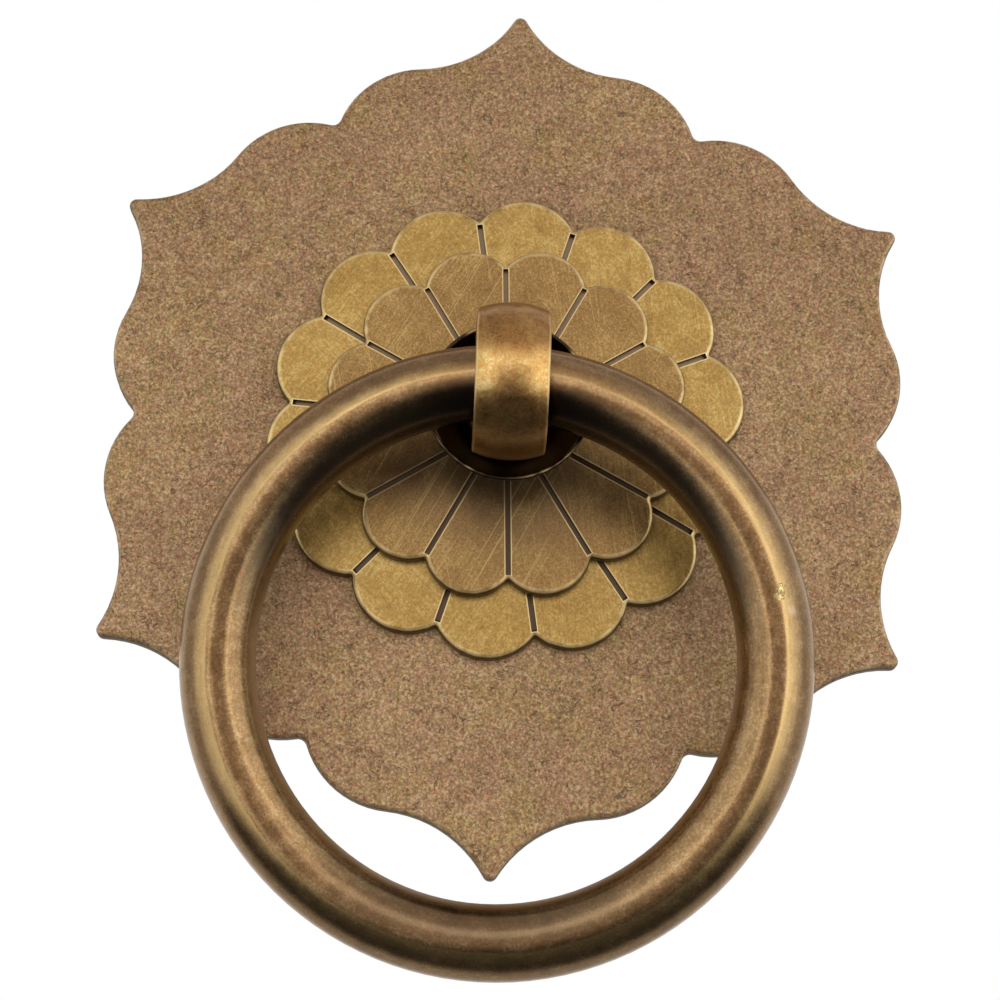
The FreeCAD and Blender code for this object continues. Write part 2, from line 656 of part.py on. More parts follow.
parts = [
    backplate(),
    rosette("outer_rosette", "outer", OUTER_SEAT),
    rosette("inner_rosette", "inner", INNER_SEAT),
    cup_washer(),
    ring_eye(),
    pull_ring(),
    back_washer(),
    hex_nut(),
]
doc.recompute()
check(parts)
os.makedirs("parts", exist_ok=True)
for part in parts:
    part.Shape.exportStep("parts/" + part.Label + ".step")
    box = part.Shape.BoundBox
    print("%-14s volume %9.1f  x %.2f %.2f  y %.2f %.2f  z %.2f %.2f" % (
        part.Label, part.Shape.Volume, box.XMin, box.XMax, box.YMin, box.YMax, box.ZMin, box.ZMax))
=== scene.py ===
import math

import bmesh
import bpy
from mathutils import Matrix, Vector


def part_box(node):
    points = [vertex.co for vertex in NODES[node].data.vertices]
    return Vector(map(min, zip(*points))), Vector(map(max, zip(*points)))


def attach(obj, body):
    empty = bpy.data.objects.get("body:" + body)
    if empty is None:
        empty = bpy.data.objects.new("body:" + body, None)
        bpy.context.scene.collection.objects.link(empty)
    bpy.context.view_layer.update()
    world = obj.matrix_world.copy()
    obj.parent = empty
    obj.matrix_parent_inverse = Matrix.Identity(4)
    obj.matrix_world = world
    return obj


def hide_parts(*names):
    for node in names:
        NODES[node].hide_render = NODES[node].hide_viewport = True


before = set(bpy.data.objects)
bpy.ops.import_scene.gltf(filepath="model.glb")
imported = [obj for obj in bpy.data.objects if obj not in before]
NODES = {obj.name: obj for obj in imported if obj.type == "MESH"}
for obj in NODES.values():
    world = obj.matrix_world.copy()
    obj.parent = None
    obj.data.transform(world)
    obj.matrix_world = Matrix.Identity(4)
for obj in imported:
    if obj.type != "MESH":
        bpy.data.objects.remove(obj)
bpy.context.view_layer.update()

# Ring pull handle in antique brass. Metres. The plate's back lies on y = 0, the front looks along -Y
# and +Z is up. The shank's axis is the Y axis.
MM = 0.001
STACK = "fixed_stack"

# Camera: a long lens that looks up at the plate from a little below, slightly rolled
CAMERA_PLACE = (-5.80 * MM, -282.34 * MM, -89.69 * MM)
CAMERA_AIM = (-0.39 * MM, -2.0 * MM, -8.33 * MM)
CAMERA_ROLL = 2.07
CAMERA_LENS = 95.8
SENSOR_WIDTH = 36.0
CLIP_START = 0.01
CLIP_END = 20.0

# What reflections see. Sides are degrees from the front, rises are the sine of the angle above level
# and depths that of the angle behind the handle. Each pair is where a soft step starts and ends.
WALL_LEFT = 1.08
WALL_RIGHT = 1.50
WALL_EDGE_LEFT = (-23, -19)
WALL_EDGE_RIGHT = (24, 28)
WALL_OUTER_SIDES = (62, 84)
WALL_OUTER_SHARE = 0.5
WALL_FOOT_RISES = (-0.58, -0.32)
WALL_UPPER_RISES = (0.40, 0.75)
WALL_UPPER_SHARE = 0.45
ROOM_RISES = (-0.55, -0.05)
ROOM_LEVELS = (0.08, 0.60)
CEILING_RISES = (0.62, 0.92)
CEILING_SHARE = 0.8
BEHIND_DEPTHS = (-0.05, 0.50)
BEHIND_RISES = (-0.6, -0.15)
BEHIND_LEVELS = (0.6, 1.0)
ROOM_TINT = (1.0, 0.84, 0.78)
PLAIN_LEVELS = (0.2, 0.7)
PLAIN_RISES = (-0.60, -0.25)
WHITE = (1.0, 1.0, 1.0)

FLOOR_LEVEL = -0.45
FLOOR_SIZE = 6.0
FLOOR_COLOUR = (0.86, 0.86, 0.85)
FLOOR_ROUGHNESS = 0.9


# Studio

def make_camera():
    data = bpy.data.cameras.new("camera")
    data.lens = CAMERA_LENS
    data.sensor_width = SENSOR_WIDTH
    data.clip_start = CLIP_START
    data.clip_end = CLIP_END
    camera = bpy.data.objects.new("camera", data)
    bpy.context.scene.collection.objects.link(camera)
    place = Vector(CAMERA_PLACE)
    aim = (Vector(CAMERA_AIM) - place).to_track_quat("-Z", "Y")
    roll = Matrix.Rotation(math.radians(CAMERA_ROLL), 4, "Z")
    camera.matrix_world = Matrix.Translation(place) @ aim.to_matrix().to_4x4() @ roll
    bpy.context.scene.camera = camera


def direction(side, rise):
    """A unit vector: side in degrees from the front towards +X, rise in degrees above level."""
    side, rise = math.radians(side), math.radians(rise)
    level = math.cos(rise)
    return Vector((math.sin(side) * level, -math.cos(side) * level, math.sin(rise)))


def add_softbox(name, side, rise, spread, height, distance, radiance):
    """A rectangular lamp that faces the handle.

    Spread and height are the angles it fills, in degrees. Its power gives its face the radiance.
    """
    data = bpy.data.lights.new(name, "AREA")
    data.shape = "RECTANGLE"
    data.size = 2 * distance * math.tan(math.radians(spread / 2))
    data.size_y = 2 * distance * math.tan(math.radians(height / 2))
    data.energy = radiance * math.pi * data.size * data.size_y
    lamp = bpy.data.objects.new(name, data)
    lamp.location = direction(side, rise) * distance
    lamp.rotation_mode = "QUATERNION"
    lamp.rotation_quaternion = lamp.location.to_track_quat("Z", "Y")
    lamp.visible_camera = False
    bpy.context.scene.collection.objects.link(lamp)


def make_lamps():
    """A narrow strip at the inner edge of each bright wall, and a wide lamp a little above level."""
    add_softbox("strip_right", side=28.5, rise=0, spread=7, height=44, distance=0.85, radiance=1.40)
    add_softbox("strip_left", side=-23, rise=0, spread=7, height=44, distance=0.85, radiance=1.25)
    add_softbox("lamp_above", side=0, rise=15, spread=38, height=20, distance=0.95, radiance=0.92)


class Nodes:
    """Adds nodes to a tree. Each method gives back the new node or its output."""

    def __init__(self, tree):
        self.tree = tree

    def add(self, kind, inputs, **settings):
        node = self.tree.nodes.new(kind)
        for key, setting in settings.items():
            setattr(node, key, setting)
        for key, given in inputs.items():
            if isinstance(given, bpy.types.NodeSocket):
                self.tree.links.new(given, node.inputs[key])
            else:
                node.inputs[key].default_value = given
        return node

    def axis(self, vector, name):
        """One part of a vector or a colour, by its name or its number."""
        return self.add("ShaderNodeSeparateXYZ", {0: vector}).outputs[name]

    def maths(self, operation, *values):
        inputs = {index: given for index, given in enumerate(values)}
        return self.add("ShaderNodeMath", inputs, operation=operation).outputs[0]

    def product(self, *values):
        result = values[0]
        for given in values[1:]:
            result = self.maths("MULTIPLY", result, given)
        return result

    def less(self, given):
        return self.maths("SUBTRACT", 1.0, given)

    def hypotenuse(self, first, second):
        squares = self.maths("ADD", self.product(first, first), self.product(second, second))
        return self.maths("SQRT", squares)

    def total(self, base, *parts):
        """base plus each part's weight times how far its noise is from a half."""
        result = base
        for weight, noise in parts:
            result = self.maths("MULTIPLY_ADD", noise, weight, result)
            result = self.maths("SUBTRACT", result, weight / 2)
        return result

    def step(self, given, low, high, start=0.0, end=1.0):
        """A smooth step from start to end, between low and high."""
        made = self.add("ShaderNodeMapRange",
                        {"Value": given, "From Min": low, "From Max": high,
                         "To Min": start, "To Max": end},
                        interpolation_type="SMOOTHSTEP")
        return made.outputs[0]

    def mix(self, share, first, second, blend="MIX"):
        """The first colour with a share of the second."""
        node = self.add("ShaderNodeMix", {}, data_type="RGBA", blend_type=blend)
        for socket, given in ((node.inputs["Factor"], share), (node.inputs[6], first),
                              (node.inputs[7], second)):
            if isinstance(given, bpy.types.NodeSocket):
                self.tree.links.new(given, socket)
            elif isinstance(given, tuple):
                socket.default_value = (*given, 1.0)
            else:
                socket.default_value = given
        return node.outputs[2]

    def ramp(self, given, *stops):
        node = self.add("ShaderNodeValToRGB", {"Fac": given})
        while len(node.color_ramp.elements) < len(stops):
            node.color_ramp.elements.new(0.5)
        for element, (position, colour) in zip(node.color_ramp.elements, stops):
            element.position = position
            element.color = (*colour, 1.0)
        return node.outputs["Color"]


def make_world():
    """White to the camera, and pale behind the handle in reflections.

    In front, a dim warm room with a bright wall on each side that fades away outwards. Darkest below.
    """
    world = bpy.data.worlds.new("studio")
    world.use_nodes = True
    world.node_tree.nodes.clear()
    sky = Nodes(world.node_tree)
    ray = sky.add("ShaderNodeLightPath", {})
    towards = sky.add("ShaderNodeTexCoord", {}).outputs["Generated"]
    depth = sky.axis(towards, "Y")
    rise = sky.axis(towards, "Z")
    side = sky.maths("ARCTAN2", sky.axis(towards, "X"), sky.product(depth, -1))
    side = sky.maths("DEGREES", side)
    left = sky.step(side, *WALL_EDGE_LEFT, WALL_LEFT, 0.0)
    right = sky.step(side, *WALL_EDGE_RIGHT, 0.0, WALL_RIGHT)
    outer = sky.step(sky.maths("ABSOLUTE", side), *WALL_OUTER_SIDES, 1.0, WALL_OUTER_SHARE)
    wall = sky.product(sky.maths("ADD", left, right), outer, sky.step(rise, *WALL_FOOT_RISES),
                       sky.step(rise, *WALL_UPPER_RISES, 1.0, WALL_UPPER_SHARE))
    room = sky.product(sky.step(rise, *ROOM_RISES, *ROOM_LEVELS),
                       sky.step(rise, *CEILING_RISES, 1.0, CEILING_SHARE))
    behind = sky.product(sky.step(depth, *BEHIND_DEPTHS),
                         sky.step(rise, *BEHIND_RISES, *BEHIND_LEVELS))
    white = sky.maths("MAXIMUM", behind, ray.outputs["Is Camera Ray"])
    white = sky.maths("MAXIMUM", white, wall)
    level = sky.maths("MAXIMUM", room, white)
    plain = sky.maths("MAXIMUM", sky.step(white, *PLAIN_LEVELS), sky.step(rise, *PLAIN_RISES, 1.0, 0.0))
    colour = sky.mix(plain, ROOM_TINT, WHITE)
    studio = sky.add("ShaderNodeBackground", {"Color": colour, "Strength": level})
    sky.add("ShaderNodeOutputWorld", {"Surface": studio.outputs[0]})
    bpy.context.scene.world = world


def make_floor():
    half = FLOOR_SIZE / 2
    mesh = bpy.data.meshes.new("floor")
    corners = [(-half, -half, 0), (half, -half, 0), (half, half, 0), (-half, half, 0)]
    mesh.from_pydata(corners, [], [(0, 1, 2, 3)])
    floor = bpy.data.objects.new("floor", mesh)
    floor.location.z = FLOOR_LEVEL
    bpy.context.scene.collection.objects.link(floor)
    paint = Paint("floor_pale")
    paint.shader.inputs["Base Color"].default_value = (*FLOOR_COLOUR, 1.0)
    paint.shader.inputs["Roughness"].default_value = FLOOR_ROUGHNESS
    mesh.materials.append(paint.material)
    floor.visible_glossy = False


# Materials

class Paint(Nodes):
    """A node material for a piece whose own coordinates are those of the handle at rest."""

    def __init__(self, name):
        self.material = bpy.data.materials.new(name)
        self.material.use_nodes = True
        super().__init__(self.material.node_tree)
        self.shader = self.tree.nodes["Principled BSDF"]
        coordinates = self.add("ShaderNodeTexCoord", {})
        self.place = coordinates.outputs["Object"]
        self.facing = coordinates.outputs["Normal"]

    def finish(self, metallic, **sockets):
        self.shader.inputs["Metallic"].default_value = metallic
        for key, given in sockets.items():
            self.tree.links.new(given, self.shader.inputs[key.replace("_", " ")])
        return self.material

    def millimetres(self, name):
        """The place along one axis, in millimetres."""
        return self.maths("DIVIDE", self.axis(self.place, name), MM)

    def reach(self):
        """The distance from the shank's axis, in millimetres."""
        return self.hypotenuse(self.millimetres("X"), self.millimetres("Z"))

    def turned(self, degrees, stretch=(1, 1, 1), shift=(0, 0, 0)):
        """Object coordinates turned about the shank's axis, then stretched."""
        spun = self.add("ShaderNodeVectorRotate",
                        {"Vector": self.place, "Angle": math.radians(degrees)},
                        rotation_type="Y_AXIS")
        moved = self.add("ShaderNodeMapping",
                         {"Vector": spun.outputs[0], "Location": shift, "Scale": stretch})
        return moved.outputs[0]

    def noise(self, size, detail=3.0, rough=0.5, place=None, warp=0.0):
        """Soft noise between 0 and 1. The size is that of its blotches, in millimetres."""
        made = self.add("ShaderNodeTexNoise",
                        {"Vector": place or self.place, "Scale": 1 / (size * MM),
                         "Detail": detail, "Roughness": rough, "Distortion": warp})
        return made.outputs["Fac"]

    def strokes(self, degrees, width, length, seed, detail=2.0):
        """Brush marks in the sheet's plane, turned from upright by the degrees."""
        place = self.turned(degrees, (1, 1, width / length), (seed, 0, seed))
        return self.noise(width, detail, 0.6, place)

    def cells(self, size):
        """Round cells. The size is that of one, in millimetres."""
        return self.add("ShaderNodeTexVoronoi", {"Vector": self.place, "Scale": 1 / (size * MM)})

    def bump(self, height, depth):
        """Relief: depth is the height in millimetres of a full step from 0 to 1."""
        inputs = {"Height": height, "Distance": depth * MM, "Strength": 1.0}
        return self.add("ShaderNodeBump", inputs).outputs[0]

    def flatness(self, low, high):
        """0 on the walls of a sheet, 1 on its faces. The bounds are the cosine of the face's slope."""
        return self.step(self.maths("ABSOLUTE", self.axis(self.facing, "Y")), low, high)

    def two_tints(self, colour, warm, green, seed):
        """Grains of a redder and a greener cast."""
        first = self.noise(0.42, 2.0, 0.6, self.turned(31, shift=(seed, 0, 0.02)))
        second = self.noise(0.5, 2.0, 0.6, self.turned(-17, shift=(0.02, 0, seed)))
        colour = self.mix(self.step(first, 0.48, 0.68), colour, warm, "MULTIPLY")
        return self.mix(self.step(second, 0.50, 0.70), colour, green, "MULTIPLY")


# Backplate

# Tone and colour pairs, from dark to light
PLATE_TONES = ((0.14, (0.10, 0.062, 0.037)), (0.42, (0.30, 0.190, 0.107)),
               (0.58, (0.42, 0.278, 0.153)), (0.86, (0.74, 0.56, 0.33)))
PLATE_TINTS = ((1.0, 0.76, 0.70), (0.84, 1.0, 0.64))
PLATE_YELLOW = (0.97, 1.0, 0.87)
PLATE_PURPLE = (1.0, 0.965, 1.0)
PLATE_FLECK = (0.74, 0.60, 0.33)
PLATE_MARK = (0.045, 0.03, 0.022)
PLATE_RUBBED = (0.76, 0.58, 0.34)
PLATE_WALL_PATINA_AND_SHADE = (0.085, 0.058, 0.038)


def worm_marks_and_pits(paint):
    """Short worm-like marks and small round pits: 1 on them, 0 elsewhere."""
    worm = paint.maths("SUBTRACT", paint.noise(1.5, 1.0, 0.5, warp=1.4), 0.5)
    worm = paint.less(paint.step(paint.maths("ABSOLUTE", worm), 0.008, 0.028))
    here = paint.step(paint.noise(1.8, 2.0, 0.5, paint.turned(50)), 0.52, 0.60)
    cells = paint.cells(0.8)
    pit = paint.less(paint.step(cells.outputs["Distance"], 0.08, 0.20))
    chosen = paint.step(paint.axis(cells.outputs["Color"], 0), 0.66, 0.68)
    return paint.maths("MAXIMUM", paint.product(worm, here), paint.product(pit, chosen))


def plate_paint():
    """Tumbled antique plate: brown, densely speckled, with pale worn edges, and walls painted dark with
    patina and painted shade.
    """
    paint = Paint("plate_brass")
    speckle = paint.noise(0.27, 2.0, 0.7)
    grain = paint.noise(0.7, 3.0, 0.65)
    patch = paint.noise(3.0, 3.0, 0.55)
    cloud = paint.noise(16.0, 3.0, 0.5)
    # A little paler towards the bottom: painted shade on the upper part, which evens out the brighter light
    # of the lamp above
    base = paint.step(paint.axis(paint.place, "Z"), -50 * MM, 30 * MM, 0.57, 0.5)
    tone = paint.total(base, (1.2, speckle), (0.38, grain), (0.16, patch), (0.2, cloud))
    colour = paint.ramp(tone, *PLATE_TONES)
    colour = paint.two_tints(colour, *PLATE_TINTS, seed=0.05)

    # Slow changes between a yellower and a more purple cast, and fine bright flecks
    cast = paint.noise(5.0, 3.0, 0.6, paint.turned(20, shift=(0.04, 0, 0.07)))
    colour = paint.mix(paint.step(cast, 0.48, 0.68), colour, PLATE_YELLOW, "MULTIPLY")
    colour = paint.mix(paint.step(cast, 0.32, 0.52, 1.0, 0.0), colour, PLATE_PURPLE, "MULTIPLY")
    fleck = paint.step(paint.noise(0.40, 2.0, 0.5, paint.turned(64, (1, 1, 0.6))), 0.64, 0.72)
    colour = paint.mix(paint.product(fleck, 0.45), colour, PLATE_FLECK)
    mark = worm_marks_and_pits(paint)
    colour = paint.mix(paint.product(mark, 0.52), colour, PLATE_MARK)

    # The rounded edge is rubbed pale where it turns away from the face, and the wall is dark: patina with
    # painted shade below the edge
    rubbed = paint.product(paint.less(paint.flatness(0.80, 0.995)), paint.flatness(0.45, 0.70),
                           paint.step(grain, 0.30, 0.60, 0.25, 1.0),
                           paint.step(patch, 0.38, 0.62, 0.15, 1.0))
    colour = paint.mix(paint.product(rubbed, 0.75), colour, PLATE_RUBBED)
    wall = paint.less(paint.flatness(0.30, 0.62))
    colour = paint.mix(paint.product(wall, 0.85), colour, PLATE_WALL_PATINA_AND_SHADE)
    height = paint.total(0.5, (0.5, speckle), (0.5, grain))
    height = paint.maths("SUBTRACT", height, paint.product(mark, 0.8))
    return paint.finish(0.75, Base_Color=colour, Roughness=paint.total(0.52, (0.25, grain)),
                        Normal=paint.bump(height, 0.030))


# Flowers. Sizes in millimetres.

GROOVE_DEPTH = 0.6
BURR = 0.16
# Where the painted shadow round the cup starts to fade and where it ends
CUP_SHADOW_REACH = (9.0, 20.0)

FLOWER_TINTS = ((1.0, 0.88, 0.80), (0.94, 1.0, 0.82))
FLOWER_CUP_SHADOW = (0.13, 0.085, 0.052)
FLOWER_WALL_PATINA_AND_SHADE = (0.085, 0.056, 0.028)
GROOVE_FLOOR_SHADED = (0.20, 0.145, 0.095)
GROOVE_FLOOR_LIT = (0.40, 0.30, 0.19)
GROOVE_WALL_PATINA_AND_SHADE = (0.16, 0.11, 0.07)


class Flower:
    """The sizes of one sheet flower, in millimetres and degrees, as they stand in the solids."""

    def __init__(self, node, lobes, turn, tip, notch, groove_width, groove_end):
        self.lobes = lobes
        self.turn = turn
        self.tip = tip
        self.notch = notch
        self.groove_width = groove_width
        self.groove_end = groove_end
        self.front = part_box(node)[0].y / MM

    def places(self, paint):
        """For each point: its depth inside the outline, and its place across and along a groove."""
        half = math.pi / self.lobes
        notch_across = self.notch * math.sin(half)
        rise = self.tip - self.notch * math.cos(half)
        lobe_radius = (notch_across**2 + rise**2) / (2 * rise)
        angle = paint.maths("ARCTAN2", paint.millimetres("X"), paint.millimetres("Z"))
        angle = paint.maths("SUBTRACT", angle, math.radians(self.turn))
        angle = paint.maths("ABSOLUTE", paint.maths("WRAP", angle, half, -half))
        reach = paint.reach()
        across = paint.product(reach, paint.maths("SINE", angle))
        along = paint.product(reach, paint.maths("COSINE", angle))
        beyond = paint.maths("MAXIMUM", paint.maths("SUBTRACT", along, self.tip - lobe_radius), 0.0)
        inside = paint.maths("SUBTRACT", lobe_radius, paint.hypotenuse(across, beyond))
        swing = paint.maths("SUBTRACT", half, angle)
        groove_across = paint.product(reach, paint.maths("SINE", swing))
        groove_along = paint.product(reach, paint.maths("COSINE", swing))
        return inside, groove_across, groove_along

    def groove(self, paint, across, along):
        """1 on a groove and its burr, and 1 below the sheet's face."""
        side = self.groove_width / 2
        end = self.groove_end
        near = paint.product(paint.less(paint.step(across, side + BURR * 0.5, side + BURR)),
                             paint.less(paint.step(along, end + BURR * 0.5, end + BURR)))
        deep = paint.step(paint.millimetres("Y"), self.front + GROOVE_DEPTH * 0.1,
                          self.front + GROOVE_DEPTH * 0.3)
        return near, deep


def brush_marks(paint, seed):
    """Fine scratches that change direction from left to right, with patches of a third direction."""
    left = paint.strokes(-32, 0.15, 5.0, seed)
    right = paint.strokes(8, 0.15, 5.0, seed + 0.1)
    cross = paint.strokes(40, 0.15, 4.0, seed + 0.2)
    side = paint.total(0.0, (1.6, paint.noise(5.0, 2.0, 0.6)))
    side = paint.maths("MULTIPLY_ADD", paint.axis(paint.place, "X"), 1 / (12 * MM), side)
    brush = paint.axis(paint.mix(paint.step(side, -0.25, 0.25), left, right), 0)
    choice = paint.noise(3.0, 2.0, 0.6, paint.turned(12, shift=(0, 0.3, seed)))
    return paint.axis(paint.mix(paint.step(choice, 0.44, 0.66), brush, cross), 0)


def long_scratches(paint, seed):
    """Single long scratches: 1 on them, 0 elsewhere."""
    left = paint.strokes(-27, 0.13, 26.0, seed + 0.3, 0.0)
    right = paint.strokes(12, 0.13, 26.0, seed + 0.4, 0.0)
    return paint.maths("MAXIMUM", paint.step(left, 0.76, 0.82), paint.step(right, 0.78, 0.84))


def flower_paint(name, flower, dark, middle, light, rim, groove_end_shade, seed):
    """Brushed sheet flower with bright rims and dull grooves painted lighter above and darker below, and a
    painted shadow below the cup.
    """
    paint = Paint(name)
    inside, groove_across, groove_along = flower.places(paint)
    fine = paint.noise(0.24, 2.0, 0.65)
    patch = paint.noise(2.0, 3.0, 0.55, paint.turned(0, shift=(seed, 0, 0)))
    cloud = paint.noise(8.0, 2.0, 0.5, paint.turned(0, shift=(0, 0, seed)))
    brush = brush_marks(paint, seed)
    tone = paint.total(0.5, (1.0, fine), (0.6, brush), (0.55, patch), (0.35, cloud))
    colour = paint.ramp(tone, (0.12, dark), (0.5, middle), (0.88, light))
    colour = paint.two_tints(colour, *FLOWER_TINTS, seed=seed)

    # Painted shadow: the lower half is darker close to the cup, where the cup, eye and ring shade it
    reach = paint.total(paint.reach(), (3.0, patch))
    z = paint.axis(paint.place, "Z")
    shade = paint.product(paint.step(reach, *CUP_SHADOW_REACH, 1.0, 0.0), paint.step(z, -7 * MM, 2 * MM, 1.0, 0.0))
    colour = paint.mix(paint.product(shade, 0.52), colour, FLOWER_CUP_SHADOW)
    scratch = long_scratches(paint, seed)
    colour = paint.mix(paint.product(scratch, 0.5), colour, light)

    # The rim is rubbed along the outline, and the wall below it is dark: patina with painted shade beneath
    # the lobes
    soft_rim = paint.less(paint.step(inside, 0.28, 0.60))
    bright = paint.product(paint.less(paint.flatness(0.88, 0.995)), paint.flatness(0.55, 0.75))
    worn = paint.maths("MAXIMUM", paint.product(soft_rim, paint.step(patch, 0.35, 0.60, 0.05, 0.85)),
                       paint.product(bright, paint.step(patch, 0.3, 0.6, 0.45, 1.0)))
    colour = paint.mix(paint.product(worn, 0.8), colour, rim)
    wall = paint.less(paint.flatness(0.35, 0.68))
    outer_wall_patina_and_shade = paint.product(wall, paint.less(paint.step(inside, 0.25, 0.45)))
    colour = paint.mix(paint.product(outer_wall_patina_and_shade, 0.88), colour, FLOWER_WALL_PATINA_AND_SHADE)

    # Grooves: a raised bright burr all round, and a flat dull floor
    near, deep = flower.groove(paint, groove_across, groove_along)
    burr = paint.product(near, paint.less(deep))
    colour = paint.mix(paint.product(burr, 0.6), colour, rim)
    floor = paint.product(near, deep, paint.flatness(0.6, 0.9))
    # Painted light and shade on the groove floors: the lower grooves darker and the upper ones lighter. The
    # outer ends take their own colour, dark on the outer flower as the painted shadow of the end wall
    dull = paint.mix(paint.step(z, -6 * MM, 6 * MM), GROOVE_FLOOR_SHADED, GROOVE_FLOOR_LIT)
    outer_end = paint.step(groove_along, flower.groove_end - 0.5, flower.groove_end - 0.1)
    dull = paint.mix(outer_end, dull, groove_end_shade)
    colour = paint.mix(floor, colour, dull)
    # The groove walls are dark: patina with painted shade inside the grooves
    colour = paint.mix(paint.product(near, deep, wall), colour, GROOVE_WALL_PATINA_AND_SHADE)

    height = paint.total(0.5, (0.5, fine), (0.4, brush))
    height = paint.maths("SUBTRACT", height, paint.product(scratch, 0.4))
    roughness = paint.total(0.38, (0.18, patch), (0.12, brush))
    roughness = paint.maths("MAXIMUM", roughness, paint.product(floor, 0.6))
    roughness = paint.maths("MAXIMUM", roughness, paint.product(bright, 0.55))
    return paint.finish(0.85, Base_Color=colour, Roughness=roughness,
                        Normal=paint.bump(height, 0.014))


# Cup washer

CUP_PATINA_AND_SHADE_TONES = ((0.2, (0.03, 0.021, 0.016)), (0.8, (0.085, 0.058, 0.038)))
CUP_LIP_WEAR_AND_HIGHLIGHT = (0.64, 0.45, 0.22)


def cup_paint():
    """Thin bowl, dark with old patina and painted shade, and rubbed bright in places on the lip, partly as
    a painted highlight.
    """
    paint = Paint("cup_brass")
    grain = paint.noise(0.4, 3.0, 0.6)
    patch = paint.noise(2.5, 2.0, 0.5)
    tone = paint.total(0.5, (0.6, grain), (0.5, patch))
    colour = paint.ramp(tone, *CUP_PATINA_AND_SHADE_TONES)
    # The lip's level is the cup's lowest y
    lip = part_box("cup_washer")[0].y
    # The lip is painted bright in places: rubbed brass and a painted highlight
    rubbed = paint.step(paint.axis(paint.place, "Y"), lip + 0.02 * MM, lip + 0.12 * MM, 1.0, 0.0)
    uneven = paint.step(paint.noise(3.5, 2.0, 0.6, paint.turned(25)), 0.46, 0.64, 0.0, 0.9)
    colour = paint.mix(paint.product(rubbed, uneven), colour, CUP_LIP_WEAR_AND_HIGHLIGHT)
    return paint.finish(1.0, Base_Color=colour, Roughness=paint.total(0.34, (0.2, patch)),
                        Normal=paint.bump(tone, 0.012))


# Ring eye. Sizes in millimetres.

BAND_RADIUS = 8.3
BAND_HALF_WIDTH = 3.85
# The band's edges are sharp up to here, where its foot starts
BAND_FOOT = -10.0

EYE_TONES = ((0.18, (0.25, 0.130, 0.048)), (0.5, (0.46, 0.262, 0.094)),
             (0.82, (0.62, 0.40, 0.145)), (1.0, (0.80, 0.60, 0.27)))
EYE_TINTS = ((1.0, 0.78, 0.66), (0.96, 1.0, 0.78))
EYE_FOOT_SHADE = (0.115, 0.082, 0.052)
EYE_EDGE_HIGHLIGHT = (0.80, 0.60, 0.30)


def eye_paint():
    """Rubbed band: golden brown with darker blotches, partly rubbed and partly a painted highlight at its
    middle and sides, with painted shade low down and a painted highlight along its edges.
    """
    paint = Paint("eye_brass")
    grain = paint.noise(0.26, 3.0, 0.7)
    blotch = paint.noise(1.2, 3.0, 0.65, warp=0.4)
    cloud = paint.noise(4.0, 2.0, 0.5)
    tone = paint.total(0.46, (0.9, grain), (0.8, blotch), (0.5, cloud))
    # The crown is rubbed bright in and below its middle, and a little further along both sides: partly worn
    # metal, partly a painted highlight where the lamps' reflection falls
    level = paint.maths("DIVIDE", paint.axis(paint.place, "Z"), BAND_RADIUS * MM)
    across = paint.maths("ABSOLUTE", paint.millimetres("X"))
    uneven = paint.maths("ADD", level, paint.total(0.0, (0.35, blotch)))
    crown_wear_and_highlight = paint.product(paint.step(uneven, -0.55, -0.25), paint.step(uneven, -0.05, 0.20, 1.0, 0.0))
    wings_wear_and_highlight = paint.product(paint.step(uneven, -0.62, -0.35), paint.step(uneven, 0.0, 0.25, 1.0, 0.0),
                          paint.step(across, 1.1, 2.6))
    rubbed = paint.maths("MAXIMUM", paint.product(crown_wear_and_highlight, 0.8), wings_wear_and_highlight)
    tone = paint.maths("MULTIPLY_ADD", rubbed, 0.36, tone)
    colour = paint.ramp(tone, *EYE_TONES)
    # Painted shade on the band's lower part, where it runs down into the cup
    foot_shade = paint.less(paint.step(level, -1.05, -0.60))
    colour = paint.mix(paint.product(foot_shade, 0.70), colour, EYE_FOOT_SHADE)
    colour = paint.two_tints(colour, *EYE_TINTS, seed=0.31)
    # Painted highlight along the band's sharp edges, where they catch the light
    band = paint.step(paint.axis(paint.place, "Y"), BAND_FOOT * MM, (BAND_FOOT - 1) * MM)
    sharp_edge_highlight = paint.step(across, BAND_HALF_WIDTH - 0.32, BAND_HALF_WIDTH - 0.12)
    colour = paint.mix(paint.product(sharp_edge_highlight, band, 0.6), colour, EYE_EDGE_HIGHLIGHT)
    height = paint.total(0.5, (0.35, grain), (0.6, blotch))
    return paint.finish(1.0, Base_Color=colour,
                        Roughness=paint.total(0.33, (0.15, blotch), (0.1, grain)),
                        Normal=paint.bump(height, 0.026))


# Pull ring. Sizes in millimetres, angles in degrees.

# The ring at rest: its circle, the seat of its top in the eye, and how it leans and turns
RING_RADIUS = 29.1
RING_TOP = Vector((-0.5, -17.35, 0))
RING_TILT = 10.6
RING_TURN = 4.7
# The nick on the ring's right side, where its bar has been struck
NICKS = ((28.26, -19.45, -21.60), (28.10, -19.50, -22.40))
WORN_SPOT = (29.40, -18.85, -23.70)
# Where the painted golden reflection starts round the bar, and how much further round that is at the ring's
# right
CREST = 12
CREST_SHIFT = 2

RING_TONES = ((0.18, (0.18, 0.110, 0.052)), (0.5, (0.335, 0.212, 0.100)),
              (0.82, (0.56, 0.385, 0.20)))
RING_TINTS = ((1.0, 0.84, 0.76), (0.96, 1.0, 0.88))
RING_OUTER_SHADE = (0.23, 0.148, 0.088)
RING_GOLDEN_REFLECTION = (0.66, 0.46, 0.19)
RING_LOW_SHADE = (0.17, 0.125, 0.078)
RING_INNER_FILM = (0.33, 0.225, 0.125)
RING_UNDER_SHADE = (0.085, 0.066, 0.045)
RING_BESIDE_EYE_SHADE = (0.034, 0.024, 0.017)
RING_NICK = (0.80, 0.62, 0.27)
RING_WORN_SPOT = (0.66, 0.50, 0.37)


